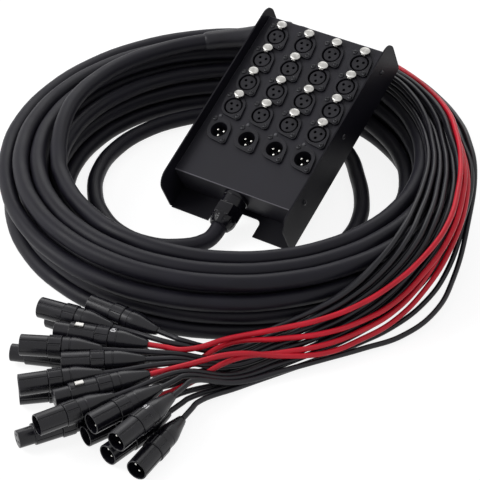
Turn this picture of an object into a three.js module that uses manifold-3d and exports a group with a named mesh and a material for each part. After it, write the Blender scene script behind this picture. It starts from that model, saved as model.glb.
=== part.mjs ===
// Stage box snake: a steel stage box that leans on a coil of multicore cable, with the
// break-out sleeve, twenty tails and the cable plugs on them. Millimetres, +Z up.
import * as THREE from "three";
import { mergeVertices } from "three/addons/utils/BufferGeometryUtils.js";
import Module from "manifold-3d";

// Clearances
const gap = 0.3; // between pieces that touch
const overrun = 2; // how far a cutter runs past the face that it cuts

// Steel box: x runs across, y up the slope from the near edge, z off the bottom plate
const boxTilt = THREE.MathUtils.degToRad(26.1);
const sheetThickness = 1.5;
const boxWidth = 140;
const bodyLength = 228;
const bodyDepth = 36;
const cheekRise = 12;
const cheekRadius = 14;
const footRadius = 4;
const nearOverhang = 24.3;
const farOverhang = 8;
const notchWidth = 51;
const notchDepth = 19;
const notchRadius = 6;
const skirtDepth = 20;

// Chassis jacks, in four columns: four rows of female ones and one row of male ones
const columns = 4;
const femaleRows = 4;
const columnInset = 22; // from the outer columns to the cheeks
const columnPitch = (boxWidth - 2 * columnInset) / (columns - 1);
const rowPitch = 29.7;
const maleRowInset = 55;
const barrelRadius = 10.5;
const barrelDepth = 20;
const flangeRadius = 12.3;
const flangeHeight = 2;
const mouthRadius = 9.6;
const insertRadius = 8;
const grooveDepth = 8;
const insertStep = 0.6;
const earOffset = 10;
const earRadius = 3.6;
const wellRadius = 8.4;
const wellDepth = 15;
const pinLength = 10.5;
const pinRadius = 1.2;
const pinCircle = 3.9;
const stripWidth = 4;
const stripThickness = 1.2;

// Push tab of a female jack's latch, and the latch housing that guides it
const tabLength = 11;
const tabWidth = 8.5;
const tabThickness = 1.8;
const tabInset = 13.2;
const tabTravel = 1.8;
const stemWidth = 4;
const stemThickness = 2.4;
const stemLength = 8;
const latchWall = 1.2;

// Cable gland in the near end wall
const glandHeight = 22;
const lockNutRadius = 12;
const lockNutLength = 4;
const glandThread = 10.5;
const glandFlange = 13.4;
const glandFlangeLength = 3.5;
const glandBodyRadius = 12.4;
const glandBodyLength = 9;
const domeNutCorner = 15;
const domeNutLength = 22;
const domeLength = 8;
const domeMouthRadius = 10.4;

// Multicore cable and its coil
const cableDiameter = 16;
const coilX = -23;
const coilY = -46;
const coilInnerRadius = 167;
const turnPitch = 16.8;
const layerPitch = 17;
const layers = 4;
const turnsPerLayer = 3.4;
const turns = 13.1;
const coilStart = 270; // degrees round the coil, where the lead joins it
const stepsPerTurn = 20;
const endTuck = 4; // how far both ends lie inside the spiral
const endTuckTurns = 0.3;
const coilFlatShare = 0.575; // half of a strand's flat top, as a share of its radius

// Break-out sleeve and tails
const tailDiameter = 5;
const lanePitch = 5.6;
const blockPitch = 5.9; // between the columns of the block
const floorClearance = 0.8;
const rootPitch = 4.1; // where the four black tails of a bundle are joined in the sleeve
const sleeveMouthRadius = 18;
const mouthClearance = 0.8;
const fanLanePitch = 5.5;

// Cable plugs: the sizes run along the plug from the rear of its boot
const bootTipRadius = 4;
const bootTaper = 22;
const bootRadius = 9.4;
const bootLength = 35;
const collarRadius = 10.4;
const collarLength = 12;
const shellRadius = 9.5;
const shellLength = 25;
const shellBore = 8.2;
const shellDepth = 14;
const plugPinLength = 10;
const femaleBodyLength = 24;
const noseRadius = 7.9;
const noseLength = 14;
const socketRadius = 1.3;
const socketDepth = 6;
const buttonLength = 8;
const buttonWidth = 4.6;
const buttonProud = 1.6;
const buttonTravel = 1.2;
const buttonSlotDepth = 3.4;
const buttonInset = 5;

// The fan in which the plugs lie, in two levels on the floor, near and far ones by turns
const fanX = 118;
const fanY = -288;
const fanColumns = 10;
const fanHeadingsHigh = [181, 189.8, 198.6, 207.4, 216.2, 225, 233.8, 242.6, 251.4, 264.2]; // degrees
const fanHeadingsLow = [185.4, 194.2, 203, 211.8, 220.6, 229.4, 238.2, 247, 259.7, 272.4]; // degrees
const nearPlugs = 66;
const farPlugs = 104;
const fanNeck = 42;
const redNeck = 36;
const entryX = 118;
const entryY = -268;
const lowPlugHeight = 10.5;
const highPlugHeight = 32;
const bootStraight = 16;

const degrees = THREE.MathUtils.degToRad;
const wasm = await Module();
wasm.setup();

// A closed geometry as a solid that can be joined and cut
function solid(geometry) {
  const bare = geometry.clone();
  bare.deleteAttribute("normal");
  bare.deleteAttribute("uv");
  const merged = mergeVertices(bare);
  return new wasm.Manifold(
    new wasm.Mesh({
      numProp: 3,
      vertProperties: merged.attributes.position.array,
      triVerts: new Uint32Array(merged.index.array),
    }),
  );
}

function geometryOf(made) {
  const mesh = made.getMesh();
  const geometry = new THREE.BufferGeometry();
  geometry.setAttribute("position", new THREE.Float32BufferAttribute(mesh.vertProperties, 3));
  geometry.setIndex(new THREE.Uint32BufferAttribute(mesh.triVerts, 1));
  return geometry;
}

function join(parts) {
  return parts.reduce((whole, part) => whole.add(part));
}

// A block between two corners
function block(low, high) {
  const size = new THREE.Vector3().subVectors(high, low);
  const middle = new THREE.Vector3().addVectors(low, high).multiplyScalar(1 / 2);
  return solid(new THREE.BoxGeometry(size.x, size.y, size.z).translate(middle.x, middle.y, middle.z));
}

// A turned piece from its (radius, height) profile, standing along +Z
function turned(profile, sides) {
  const points = profile.map(([radius, height]) => new THREE.Vector2(radius, height));
  return solid(new THREE.LatheGeometry(points, sides).rotateX(Math.PI / 2));
}

function rod(radius, low, high, sides) {
  return turned([[0, low], [radius, low], [radius, high], [0, high]], sides);
}

// An outline in the y-z plane, extruded along x
function sidePlate(shape, thickness, x, curveSegments) {
  const geometry = new THREE.ExtrudeGeometry(shape, { depth: thickness, bevelEnabled: false, curveSegments });
  const turn = new THREE.Matrix4().makeBasis(
    new THREE.Vector3(0, 1, 0),
    new THREE.Vector3(0, 0, 1),
    new THREE.Vector3(1, 0, 0),
  );
  return solid(geometry.applyMatrix4(turn).translate(x, 0, 0));
}

function roundedRectangle(x0, y0, x1, y1, low, high) {
  const shape = new THREE.Shape();
  shape.moveTo(x0 + low, y0);
  shape.lineTo(x1 - low, y0);
  shape.absarc(x1 - low, y0 + low, low, -Math.PI / 2, 0);
  shape.lineTo(x1, y1 - high);
  shape.absarc(x1 - high, y1 - high, high, 0, Math.PI / 2);
  shape.lineTo(x0 + high, y1);
  shape.absarc(x0 + high, y1 - high, high, Math.PI / 2, Math.PI);
  shape.lineTo(x0, y0 + low);
  shape.absarc(x0 + low, y0 + low, low, Math.PI, (Math.PI * 3) / 2);
  return shape;
}

const snake = new THREE.Group();
const box = new THREE.Group();
box.rotation.x = boxTilt;
snake.add(box);

function place(parent, name, made, color, roughness, metalness) {
  const material = new THREE.MeshStandardMaterial({ color, roughness, metalness });
  const mesh = new THREE.Mesh(geometryOf(made), material);
  mesh.name = name;
  parent.add(mesh);
  return mesh;
}

const steelBlack = 0x1c1c20;
const plasticBlack = 0x17171a;
const rubberBlack = 0x1a1a1d;
const nickel = 0xc9c9cc;
const tailRed = 0xc41f2e;

// Body: a bottom plate between two cheeks that stand above the panel
const cheekOutline = roundedRectangle(0, 0, bodyLength, bodyDepth + cheekRise, footRadius, cheekRadius);
const cheekArc = 2;
const notchOutline = roundedRectangle(
  -notchWidth / 2,
  -notchRadius - overrun,
  notchWidth / 2,
  notchDepth,
  notchRadius,
  notchRadius,
);
const notch = solid(
  new THREE.ExtrudeGeometry(notchOutline, { depth: sheetThickness + overrun + overrun, bevelEnabled: false, curveSegments: 2 })
    .translate(0, 0, -overrun),
);
const body = join([
  sidePlate(cheekOutline, sheetThickness, -boxWidth / 2, cheekArc),
  sidePlate(cheekOutline, sheetThickness, boxWidth / 2 - sheetThickness, cheekArc),
  block(
    new THREE.Vector3(-boxWidth / 2 + sheetThickness / 2, footRadius, 0),
    new THREE.Vector3(boxWidth / 2 - sheetThickness / 2, bodyLength - footRadius, sheetThickness),
  ),
  block(
    new THREE.Vector3(-boxWidth / 2 + sheetThickness, 0, 0),
    new THREE.Vector3(boxWidth / 2 - sheetThickness, bodyLength, sheetThickness),
  ),
]).subtract(notch);
place(box, "body_channel", body, steelBlack, 0.55, 0.4);

// Jack places, across and up the slope
const panelNear = nearOverhang;
const panelFar = bodyLength - farOverhang;
const maleRowY = panelNear + maleRowInset;
const columnX = (column) => (column - (columns - 1) / 2) * columnPitch;
const rowY = (row) => maleRowY + row * rowPitch;

// Latch guide beside the mouth of a female jack, and the tab above it
const latchHalfWidth = stemWidth / 2 + gap + latchWall;
const latchFar = tabInset + stemThickness / 2 + gap + latchWall;
const flangeTop = bodyDepth + gap + flangeHeight;
const tabUnder = flangeTop + tabTravel + gap;
const stemBottom = tabUnder - stemLength;
const jackSides = 8;
const glandSides = 10;

// Cover: the panel, two end walls and two side skirts, with the jack and gland holes
const coverHalf = boxWidth / 2 - sheetThickness - gap;
const wallFoot = sheetThickness + gap;
const skirtFoot = bodyDepth - skirtDepth;
let cover = join([
  block(
    new THREE.Vector3(-coverHalf, panelNear, bodyDepth - sheetThickness),
    new THREE.Vector3(coverHalf, panelFar, bodyDepth),
  ),
  block(new THREE.Vector3(-coverHalf, panelNear, wallFoot), new THREE.Vector3(coverHalf, panelNear + sheetThickness, bodyDepth)),
  block(new THREE.Vector3(-coverHalf, panelFar - sheetThickness, wallFoot), new THREE.Vector3(coverHalf, panelFar, bodyDepth)),
  block(new THREE.Vector3(-coverHalf, panelNear, skirtFoot), new THREE.Vector3(-coverHalf + sheetThickness, panelFar, bodyDepth)),
  block(new THREE.Vector3(coverHalf - sheetThickness, panelNear, skirtFoot), new THREE.Vector3(coverHalf, panelFar, bodyDepth)),
]);
for (let row = 0; row <= femaleRows; row++) {
  for (let column = 0; column < columns; column++) {
    let hole = rod(barrelRadius + gap, bodyDepth - sheetThickness - overrun, bodyDepth + overrun, jackSides);
    if (row > 0) {
      hole = hole.add(
        block(
          new THREE.Vector3(-latchHalfWidth - gap, 0, bodyDepth - sheetThickness - overrun),
          new THREE.Vector3(latchHalfWidth + gap, latchFar + gap, bodyDepth + overrun),
        ),
      );
    }
    cover = cover.subtract(hole.translate([columnX(column), rowY(row), 0]));
  }
}
const glandHole = rod(glandThread + gap, -overrun, sheetThickness + overrun, glandSides)
  .rotate([-90, 0, 0])
  .translate([0, panelNear, glandHeight]);
cover = cover.subtract(glandHole);
place(box, "panel_cover", cover, steelBlack, 0.5, 0.4);

// Chassis jacks: barrel, flange with two screw ears, and what is inside the mouth
function flange() {
  const points = [];
  const corner = Math.PI / 4;
  const steps = 3;
  for (const side of [1, -1]) {
    const turn = side > 0 ? 0 : Math.PI;
    for (let step = 0; step <= steps; step++) {
      const angle = turn - corner / 3 + ((corner * 8) / 3) * (step / steps);
      points.push(new THREE.Vector2(flangeRadius * Math.cos(angle), flangeRadius * Math.sin(angle)));
    }
    for (let step = 0; step <= steps; step++) {
      const angle = turn + corner + Math.PI * (step / steps);
      const x = -side * earOffset + earRadius * Math.cos(angle);
      points.push(new THREE.Vector2(x, side * earOffset + earRadius * Math.sin(angle)));
    }
  }
  const depth = flangeHeight;
  const geometry = new THREE.ExtrudeGeometry(new THREE.Shape(points), { depth, bevelEnabled: false });
  return solid(geometry.translate(0, 0, bodyDepth + gap));
}

function femaleJack() {
  const shell = turned(
    [
      [0, bodyDepth - barrelDepth],
      [barrelRadius, bodyDepth - barrelDepth],
      [barrelRadius, flangeTop - flangeHeight / 2],
      [0, flangeTop - flangeHeight / 2],
    ],
    jackSides,
  );
  const guide = block(
    new THREE.Vector3(-latchHalfWidth, (barrelRadius + mouthRadius) / 2, bodyDepth + gap),
    new THREE.Vector3(latchHalfWidth, latchFar, flangeTop),
  );
  const slot = block(
    new THREE.Vector3(-stemWidth / 2 - gap, tabInset - stemThickness / 2 - gap, bodyDepth - overrun),
    new THREE.Vector3(stemWidth / 2 + gap, tabInset + stemThickness / 2 + gap, flangeTop + overrun),
  );
  const groove = turned(
    [
      [0, flangeTop - insertStep],
      [insertRadius, flangeTop - insertStep],
      [insertRadius, flangeTop - grooveDepth],
      [mouthRadius, flangeTop - grooveDepth],
      [mouthRadius, flangeTop + overrun],
      [0, flangeTop + overrun],
    ],
    jackSides,
  );
  return join([shell, flange(), guide]).subtract(groove).subtract(slot);
}

function pins(circle, radius, low, high) {
  return [0, 1, 2].map((pin) => {
    const angle = degrees(150 + 120 * pin);
    return rod(radius, low, high, 4).translate([circle * Math.cos(angle), circle * Math.sin(angle), 0]);
  });
}

function maleJack() {
  const shell = turned(
    [
      [0, bodyDepth - barrelDepth],
      [barrelRadius, bodyDepth - barrelDepth],
      [barrelRadius, flangeTop - flangeHeight / 2],
      [0, flangeTop - flangeHeight / 2],
    ],
    jackSides,
  );
  const wellFloor = flangeTop - wellDepth;
  const well = rod(wellRadius, wellFloor, flangeTop + overrun, jackSides);
  const contacts = pins(pinCircle, pinRadius, wellFloor - sheetThickness, wellFloor + pinLength);
  return join([join([shell, flange()]).subtract(well), ...contacts]);
}

for (let column = 0; column < columns; column++) {
  const jack = maleJack().translate([columnX(column), rowY(0), 0]);
  place(box, `male_jack_${column + 1}`, jack, plasticBlack, 0.45, 0.1);
}

// The female jacks of a row are linked by the earth strip soldered along their backs
const stripTop = bodyDepth - barrelDepth;
const earthStrip = block(
  new THREE.Vector3(columnX(0) - stripWidth, -stripWidth / 2, stripTop - stripThickness),
  new THREE.Vector3(columnX(columns - 1) + stripWidth, stripWidth / 2, stripTop),
);
for (let row = 1; row <= femaleRows; row++) {
  const jacks = [];
  for (let column = 0; column < columns; column++) jacks.push(femaleJack().translate([columnX(column), 0, 0]));
  const linked = join([earthStrip, ...jacks]).translate([0, rowY(row), 0]);
  place(box, `female_jacks_row_${row}`, linked, plasticBlack, 0.45, 0.1);
}

// Push tabs: an oval plate on a stem that slides in the latch housing
const tabOutline = new THREE.Shape().absellipse(0, 0, tabLength / 2, tabWidth / 2, 0, Math.PI * 2);
const tabPlate = solid(
  new THREE.ExtrudeGeometry(tabOutline, { depth: tabThickness, bevelEnabled: false, curveSegments: 4 })
    .translate(0, 0, tabUnder),
);
const tabStem = block(
  new THREE.Vector3(-stemWidth / 2, -stemThickness / 2, stemBottom),
  new THREE.Vector3(stemWidth / 2, stemThickness / 2, tabUnder + tabThickness / 2),
);
const tab = tabPlate.add(tabStem);
for (let row = 1; row <= femaleRows; row++) {
  for (let column = 0; column < columns; column++) {
    const number = (row - 1) * columns + column + 1;
    const made = tab.translate([columnX(column), rowY(row) + tabInset, 0]);
    place(box, `push_tab_${number}`, made, nickel, 0.3, 0.9);
  }
}

// Gland body with its lock nut inside the wall and the rubber seal in its nose
const flangeEnd = gap + glandFlangeLength;
const bodyEnd = flangeEnd + glandBodyLength;
const nutStart = bodyEnd + gap;
const nutEnd = nutStart + domeNutLength;
const sealStart = nutEnd - domeLength;
const cableRadius = cableDiameter / 2;
const towardsCable = [90, 0, 0];
const glandBody = turned(
  [
    [0, -sheetThickness - gap - lockNutLength],
    [lockNutRadius, -sheetThickness - gap - lockNutLength],
    [lockNutRadius, -sheetThickness - gap],
    [glandThread, -sheetThickness - gap],
    [glandThread, gap],
    [glandFlange, gap],
    [glandFlange, flangeEnd],
    [glandBodyRadius, flangeEnd],
    [glandBodyRadius, bodyEnd],
    [glandThread, bodyEnd],
    [glandThread, sealStart - gap],
    [cableRadius, sealStart - gap],
    [cableRadius, nutEnd],
    [0, nutEnd],
  ],
  glandSides,
)
  .rotate(towardsCable)
  .translate([0, panelNear, glandHeight]);
place(box, "gland_body", glandBody, plasticBlack, 0.5, 0);

// Hexagonal dome nut, turned so that a flat faces the floor
const domeNut = turned(
  [[0, nutStart], [domeNutCorner, nutStart], [domeNutCorner, nutEnd - domeLength], [domeMouthRadius, nutEnd], [0, nutEnd]],
  6,
)
  .rotate([0, 0, 30])
  .subtract(rod(glandThread + gap, nutStart - overrun, sealStart, glandSides))
  .subtract(rod(cableRadius + gap, nutStart, nutEnd + overrun, glandSides))
  .rotate(towardsCable)
  .translate([0, panelNear, glandHeight]);
place(box, "gland_nut", domeNut, plasticBlack, 0.45, 0);

// The box stands on its lowest edge, with its footprint centred on the origin
box.updateMatrixWorld(true);
const footprint = new THREE.Box3().setFromObject(box, true);
box.position.y -= (footprint.min.y + footprint.max.y) / 2;
box.position.z -= footprint.min.z;
box.updateMatrixWorld(true);

// A tube of flat sections that follow each other, closed by its two ends
function skinned(rings) {
  const around = rings[0].length;
  const positions = rings.flatMap((ring) => ring.flatMap((point) => [point.x, point.y, point.z]));
  const faces = [];
  for (let ring = 0; ring + 1 < rings.length; ring++) {
    for (let side = 0; side < around; side++) {
      const next = (side + 1) % around;
      const a = ring * around + side;
      const b = ring * around + next;
      faces.push(a, b, b + around, a, b + around, a + around);
    }
  }
  const last = (rings.length - 1) * around;
  for (let side = 1; side + 1 < around; side++) {
    faces.push(0, side + 1, side);
    faces.push(last, last + side, last + side + 1);
  }
  const geometry = new THREE.BufferGeometry();
  geometry.setAttribute("position", new THREE.Float32BufferAttribute(positions, 3));
  geometry.setIndex(faces);
  return solid(geometry);
}

// A place round the coil, from its angle in degrees, radius and height
function roundCoil(angle, radius, height) {
  const turn = degrees(angle);
  return new THREE.Vector3(coilX + radius * Math.cos(turn), coilY + radius * Math.sin(turn), height);
}

// Coil: the strand spirals out and in again, and climbs a layer where the spiral reverses
const flatHalf = cableRadius * coilFlatShare;
const strandSection = [
  [cableRadius, 0],
  [flatHalf, cableRadius],
  [-flatHalf, cableRadius],
  [-cableRadius, 0],
  [-flatHalf, -cableRadius],
  [flatHalf, -cableRadius],
];

function strandAt(turn) {
  const leg = Math.floor(turn / turnsPerLayer);
  const along = turn - leg * turnsPerLayer;
  const out = leg % 2 === 0 ? along : turnsPerLayer - along;
  let climbed = 0;
  for (let layer = 1; layer < layers; layer++) {
    const reversal = layer * turnsPerLayer;
    climbed += THREE.MathUtils.smoothstep(turn, reversal - 1 / 4, reversal + 1 / 4);
  }
  const smooth = THREE.MathUtils.smoothstep;
  const tuck = 1 - smooth(turn, 0, endTuckTurns) + smooth(turn, turns - endTuckTurns, turns);
  return [coilInnerRadius + turnPitch * out - endTuck * tuck, cableRadius + layerPitch * climbed];
}

const coilRings = [];
const coilPlaces = [];
function addCoilRing(turn, forward) {
  const [radius, height] = strandAt(turn);
  const angle = coilStart - 360 * turn;
  const ahead = new THREE.Vector3(Math.sin(degrees(angle)), -Math.cos(degrees(angle)), 0).multiplyScalar(forward);
  const ring = strandSection.map(([out, up]) => roundCoil(angle, radius + out, height + up).add(ahead));
  coilRings.push(ring);
  coilPlaces.push([turn, radius, height]);
}
addCoilRing(0, 0);
addCoilRing(0, cableDiameter);
const lastStep = Math.round(turns * stepsPerTurn);
for (let step = 1; step < lastStep; step++) addCoilRing(step / stepsPerTurn, 0);
addCoilRing(turns, -cableDiameter);
addCoilRing(turns, 0);
place(snake, "multicore_coil", skinned(coilRings), rubberBlack, 0.6, 0);

// Least gap between the strand and itself, on the corners of its sections
function distanceToOutline(x, y, outline) {
  let least = Infinity;
  outline.forEach(([ax, ay], index) => {
    const [bx, by] = outline[(index + 1) % outline.length];
    const share = ((x - ax) * (bx - ax) + (y - ay) * (by - ay)) / ((bx - ax) ** 2 + (by - ay) ** 2);
    const t = THREE.MathUtils.clamp(share, 0, 1);
    least = Math.min(least, Math.hypot(x - ax - (bx - ax) * t, y - ay - (by - ay) * t));
  });
  return least;
}

let leastGap = Infinity;
for (const [turn, radius, height] of coilPlaces) {
  for (const [other, otherRadius, otherHeight] of coilPlaces) {
    const whole = Math.round(other - turn);
    if (whole < 1 || Math.abs(other - turn - whole) * stepsPerTurn > 1 / 2) continue;
    const outline = strandSection.map(([out, up]) => [otherRadius + out, otherHeight + up]);
    for (const [out, up] of strandSection) {
      leastGap = Math.min(leastGap, distanceToOutline(radius + out, height + up, outline));
    }
  }
}
console.log(`least gap of the coil to itself: ${leastGap.toFixed(2)} mm`);

// A tube along a curve through hand-chosen points
function tube(points, diameter, sides, steps) {
  const curve = new THREE.CatmullRomCurve3(points, false, "centripetal");
  const section = new THREE.Shape();
  for (let side = 0; side < sides; side++) {
    const turn = ((side + 1 / 2) / sides) * Math.PI * 2;
    const corner = [(diameter / 2) * Math.cos(turn), (diameter / 2) * Math.sin(turn)];
    if (side === 0) section.moveTo(...corner);
    else section.lineTo(...corner);
  }
  section.closePath();
  return solid(new THREE.ExtrudeGeometry(section, { steps, extrudePath: curve, bevelEnabled: false }));
}

// Lead: from the gland one loose turn round the inside of the coil, to where the coil starts
const nutFace = new THREE.Vector3(0, panelNear - nutEnd - gap, glandHeight).applyMatrix4(box.matrixWorld);
const leadRoute = [
  [-2.5, -129, 8.5],
  [-22, -152, 8.1],
  [-48, -163, 8.1],
  [-80, -162, 8.1],
  [-112, -147, 8.1],
  [-140, -121, 8.1],
  [-160, -86, 8.1],
  [-168, -46, 8.1],
  [-163, -4, 8.1],
  [-144, 36, 8.1],
  [-113, 69, 8.1],
  [-73, 91, 8.1],
  [-28, 97, 8.1],
  [12, 88, 8.1],
  [39, 73, 8.1],
  [66, 43, 8.1],
  [88, 13, 8.1],
  [103, -18, 8.1],
  [110, -54, 8.1],
  [106, -92, 8.1],
  [90, -130, 8.1],
  [63, -163, 8.1],
  [34, -187, 8.1],
  [10, -202, 8.1],
];
const coilEntry = roundCoil(coilStart, coilInnerRadius - endTuck, cableRadius);
const leadPoints = [
  nutFace,
  new THREE.Vector3(0, panelNear - nutEnd - cableRadius, glandHeight).applyMatrix4(box.matrixWorld),
  ...leadRoute.map((point) => new THREE.Vector3(...point)),
  coilEntry.clone().setX(coilEntry.x + cableDiameter),
  coilEntry.clone().setX(coilEntry.x + gap),
];
place(snake, "multicore_lead", tube(leadPoints, cableDiameter, 8, 30), rubberBlack, 0.6, 0);

// Break-out: the last of the multicore rises over the coil and flares into the sleeve.
// Each row is the angle round the coil, the radius, the height and the sleeve's thickness.
const endAngle = coilStart - 360 * (turns % 1);
const [endRadius, endHeight] = strandAt(turns);
const topOfCoil = cableDiameter + layerPitch * (layers - 1);
const breakoutRoute = [
  [220, 171.5, 61, 0],
  [210, 171.5, 67, 0],
  [200, 172, 73, 0],
  [190, 173, 75.6, 0],
  [175, 175, 75.6, 0],
  [162, 177, 75.6, 0],
  [149, 178, 75.8, 0],
  [147, 178, 76.5, 1],
  [136, 178, 78, 2],
  [125, 178, 80, 4],
  [115, 178, 83, 7],
  [108, 177.5, 85.5, 10],
];
const mouthAngle = 104;
const mouthRadiusFromCoil = 177;
const mouthHeight = topOfCoil + sleeveMouthRadius + gap;
const breakoutPlaces = [
  [endAngle, endRadius, endHeight, 0, -gap],
  [endAngle, endRadius, endHeight, 0, -gap - cableDiameter],
  ...breakoutRoute.map((row) => [...row, 0]),
  [mouthAngle, mouthRadiusFromCoil, mouthHeight, sleeveMouthRadius - cableRadius, mouthClearance],
];
const breakoutRings = breakoutPlaces.map(([angle, radius, height, swell, forward]) => {
  const ring = [];
  const ahead = new THREE.Vector3(Math.sin(degrees(angle)), -Math.cos(degrees(angle)), 0).multiplyScalar(-forward);
  for (let side = 0; side < 8; side++) {
    const turn = ((side + 1 / 2) / 8) * Math.PI * 2;
    const reach = cableRadius + swell;
    ring.push(roundCoil(angle, radius + reach * Math.cos(turn), height + reach * Math.sin(turn)).add(ahead));
  }
  return ring;
});
place(snake, "breakout_sleeve", skinned(breakoutRings), rubberBlack, 0.65, 0);

// Tails: three bundles of black ones, the red ones and a last bundle of black ones. In the
// block stations they lie in columns of four, and the last bundle soon lies two by two.
const bedHeight = topOfCoil + gap + gap + tailDiameter / 2;
const blockMiddle = bedHeight + (lanePitch * 3) / 2;
const blockStations = [
  [mouthAngle, mouthRadiusFromCoil, mouthHeight],
  [100.5, 176.8, mouthHeight],
  [93, 179, 81],
  [82, 185, blockMiddle],
  [70, 192, blockMiddle],
  [62, 195.8, blockMiddle],
  [55, 196.5, blockMiddle],
];
const settledBlock = 2; // the first block station in which the last bundle lies two by two
const tailsPerBundle = 4;
const bundles = 5;
const redBundle = 3;
const lastBundle = 4;

// In the draped stations the tails lie along a rim of (radius, height) places, that many
// lanes long. A bundle's strands are given by their lane and the layers below them.
const paired = (lane) => [[lane, 0], [lane, 1], [lane + 1, 0], [lane + 1, 1]];
const rising = (lane) => [[lane, 0], [lane, 1], [lane + 1, 2], [lane + 1, 3]];
const stacked = (lane) => [[lane, 0], [lane, 1], [lane, 2], [lane, 3]];
const inner = [paired(0), paired(2)];
const drapeStations = [
  [39, 7, [[186.5, 71], [227, 71]], [rising(0), rising(1.88), stacked(3.92), stacked(5.12), paired(6.15)]],
  [28, 7, [[189, 71], [228.5, 71]], [...inner, stacked(4), stacked(5), paired(6)]],
  [19, 8, [[190.5, 70.6], [234.5, 70.6]], [
    ...inner,
    [[4, 0], [4, 1], [5, 0.3], [4.8, 1.4]],
    [[6, 0], [6, 1], [6, 2.05], [5.7, 3.15]],
    paired(7),
  ]],
  [10, 8, [[196, 70.4], [234.5, 70.4], [238, 66.5], [240, 58]], [
    ...inner,
    paired(4),
    [[6, 0], [6, 1], [5.6, 2.05], [4.6, 2.05]],
    paired(7),
  ]],
  [-4, 8, [[205, 70.4], [234.5, 70.4], [238.5, 66], [244, 36]], [
    ...inner,
    paired(4),
    [[6, 0.4], [6.6, 2.05], [5.4, 2.05], [4.2, 2.05]],
    [[7, 0], [7, 1], [8, 0], [8, 1]],
  ]],
  [-14, 8, [[219, 70.4], [234.5, 70.4], [238.5, 66], [246, 24]], [
    ...inner,
    paired(4),
    [[6, 1.5], [7, 2.1], [5, 2.1], [3.5, 2.1]],
    paired(7),
  ]],
  [-23, 7, [[232, 70.4], [236, 69], [239, 62], [249, 9]], [
    ...inner,
    paired(4),
    [[5.9, 2.05], [7, 2.05], [4.8, 2.05], [2.6, 2.05]],
    paired(6),
  ]],
  [-32, 7, [[237, 54], [252, 5]], [
    ...inner,
    paired(4),
    [[5.6, 2.05], [6.6, 2.05], [4.4, 2.05], [2, 2.05]],
    paired(6),
  ]],
  [-40, 7, [[238, 36], [262, 4]], [
    ...inner,
    paired(4),
    [[5.2, 2.1], [6.3, 2.1], [3.6, 2.1], [1.4, 2.1]],
    paired(6),
  ]],
  [-48, 7, [[239, 26], [270, 3.3]], [
    ...inner,
    paired(4),
    [[5, 2.4], [6.2, 2.3], [2.7, 2.4], [0.9, 2.4]],
    paired(6),
  ]],
];

// The last two tails leave the others and lie in loose loops on the floor
const looseLoops = {
  "-4": [[246, 14], [251.5, 9]],
  "-14": [[254, 4], [268, 3.3]],
  "-23": [[257, 3.3], [276, 3.3]],
  "-32": [[257, 3.3], [268, 3.3]],
};

function alongRim(rim, share, lift) {
  const lengths = [0];
  for (let place = 1; place < rim.length; place++) {
    const [r0, z0] = rim[place - 1];
    const [r1, z1] = rim[place];
    lengths.push(lengths[place - 1] + Math.hypot(r1 - r0, z1 - z0));
  }
  const total = lengths[lengths.length - 1];
  let place = 1;
  while (place < rim.length - 1 && share * total > lengths[place]) place++;
  const [r0, z0] = rim[place - 1];
  const [r1, z1] = rim[place];
  const part = (share * total - lengths[place - 1]) / (lengths[place] - lengths[place - 1]);
  const reach = Math.hypot(r1 - r0, z1 - z0);
  const out = [(r1 - r0) / reach, (z1 - z0) / reach];
  return [r0 + (r1 - r0) * part - out[1] * lift, z0 + (z1 - z0) * part + out[0] * lift];
}

// The fan: a column of plugs holds a low and a high one, and two columns are the red tails'
const blackColumns = [0, 1, 3, 4, 5, 7, 8, 9];
const redColumns = [6, 6, 2, 2];
const redLift = 3.3; // in lanes, where the red tails enter the fan
const entryAcross = new THREE.Vector3(0.69, -0.72, 0);
const lastPairs = 2; // the last columns are all near ones

function fanPlace(column, high, red) {
  const heading = degrees((high ? fanHeadingsHigh : fanHeadingsLow)[column]);
  const forward = new THREE.Vector3(Math.cos(heading), Math.sin(heading), 0);
  const near = column >= fanColumns - lastPairs || (column % 2 === 0) === high;
  const centre = new THREE.Vector3(fanX, fanY, high ? highPlugHeight : lowPlugHeight);
  const neck = centre.clone().addScaledVector(forward, red && high ? redNeck : fanNeck);
  const rear = centre.clone().addScaledVector(forward, near ? nearPlugs : farPlugs);
  return { heading, forward, neck, rear };
}

function tailPoints(index) {
  const bundle = Math.floor(index / tailsPerBundle);
  const row = index % tailsPerBundle;
  const red = bundle === redBundle;
  const points = blockStations.map(([angle, radius, height], station) => {
    const beside = bundle === lastBundle && row > 1 && station >= settledBlock ? 1 : 0;
    const pitch = station === 0 ? rootPitch : lanePitch;
    return roundCoil(
      angle,
      radius + (bundle - (bundles - 1) / 2 + beside) * blockPitch,
      height + (row - 2 * beside - (tailsPerBundle - 1) / 2) * pitch,
    );
  });
  for (const [angle, lanes, rim, places] of drapeStations) {
    const [lane, lift] = places[bundle][row];
    const loose = bundle === lastBundle && row > 1 && looseLoops[angle];
    const [radius, height] = loose ? loose[row - 2] : alongRim(rim, lane / lanes, lift * lanePitch);
    points.push(roundCoil(angle, radius, height));
  }
  const high = row % 2 === 1;
  const blackLane = 2 * (bundle > redBundle ? bundle - 1 : bundle) + (row >> 1);
  const column = red ? redColumns[row] : blackColumns[blackLane];
  const { forward, neck, rear } = fanPlace(column, high, red);
  const entry = new THREE.Vector3(entryX, entryY, 0).addScaledVector(entryAcross, (column - (fanColumns - 1) / 2) * fanLanePitch);
  entry.z = tailDiameter / 2 + floorClearance + lanePitch * (row % 2 + (red ? redLift : 0));
  points.push(entry, neck);
  points.push(rear.clone().addScaledVector(forward, -bootStraight));
  points.push(rear.clone().addScaledVector(forward, -gap));
  return points;
}

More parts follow.
